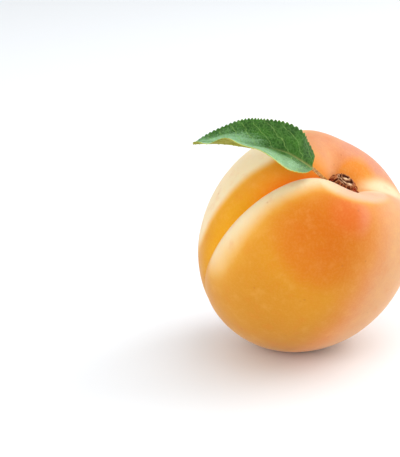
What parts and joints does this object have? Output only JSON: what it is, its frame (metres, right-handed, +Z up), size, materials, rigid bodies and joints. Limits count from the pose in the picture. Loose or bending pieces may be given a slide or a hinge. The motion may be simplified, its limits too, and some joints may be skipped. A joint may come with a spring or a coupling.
{
  "type": "apricot",
  "caption": "Whole ripe apricot with a suture groove, a woody stem stub in its cavity and a folded green leaf, resting on a small flat spot.",
  "frame": {"origin": "centre of the small flat spot that the fruit rests on", "axes": "+Z up from the resting surface; the leaf points along -X, the stem axis leans towards +X and a little -Y, and the broad lobe faces -Y"},
  "size_m": [0.052, 0.0501, 0.061],
  "materials": {
    "apricot_skin": "thin matt skin with a fine down, golden orange with cream shoulders and a pink blush on one side",
    "stem_bark": "dry wrinkled bark, reddish brown with tan ridges on its broken end",
    "leaf_green": "satin green blade with pale veins, a toothed yellow-green margin and an olive underside"
  },
  "bodies": {
    "root": {"apricot_fruit": "apricot_skin", "stem_stub": "stem_bark", "leaf": "leaf_green"}
  },
  "joints": []
}
